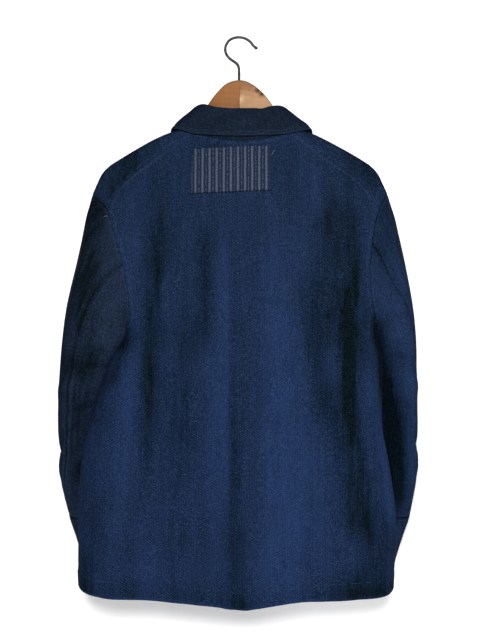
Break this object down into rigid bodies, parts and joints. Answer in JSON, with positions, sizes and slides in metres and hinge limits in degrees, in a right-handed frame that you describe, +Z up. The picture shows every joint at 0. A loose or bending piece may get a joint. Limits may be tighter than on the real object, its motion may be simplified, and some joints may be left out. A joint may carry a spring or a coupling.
{
  "type": "patched boro jacket on a wooden hanger",
  "caption": "Indigo patched work jacket hanging from a two-piece wooden hanger with a wire hook, seen best from its back with a striped patch under the collar.",
  "frame": {"origin": "inside of the crown of the hanger's hook, where a wall hook or a rod carries it", "axes": "+Z up, the jacket's back faces +Y and its front -Y, the wearer's left is +X"},
  "size_m": [0.577, 0.1897, 0.9008],
  "materials": {
    "indigo_cloth": "worn, softly faded indigo cotton twill",
    "sleeve_cloth": "darker indigo cotton twill",
    "collar_cloth": "dark indigo cotton, worn at its edges",
    "patch_cloth": "striped patch, grey on dark indigo",
    "button": "dark, slightly worn",
    "wood_dark": "aged varnish",
    "wood_light": "aged varnish",
    "wire": "dark tarnished wire"
  },
  "bodies": {
    "root": {"back": "indigo_cloth", "front_left": "indigo_cloth", "front_right": "indigo_cloth", "sleeve_upper_left": "sleeve_cloth", "sleeve_upper_right": "sleeve_cloth", "sleeve_under_left": "sleeve_cloth", "sleeve_under_right": "sleeve_cloth", "cuff_left": "sleeve_cloth", "cuff_right": "sleeve_cloth", "collar_stand": "collar_cloth", "collar_fall": "collar_cloth", "patch": "patch_cloth", "button_1": "button", "button_2": "button", "button_3": "button", "button_4": "button", "button_5": "button", "hanger_arm_left": "wood_dark", "hanger_arm_right": "wood_light", "hook": "wire"}
  },
  "joints": []
}
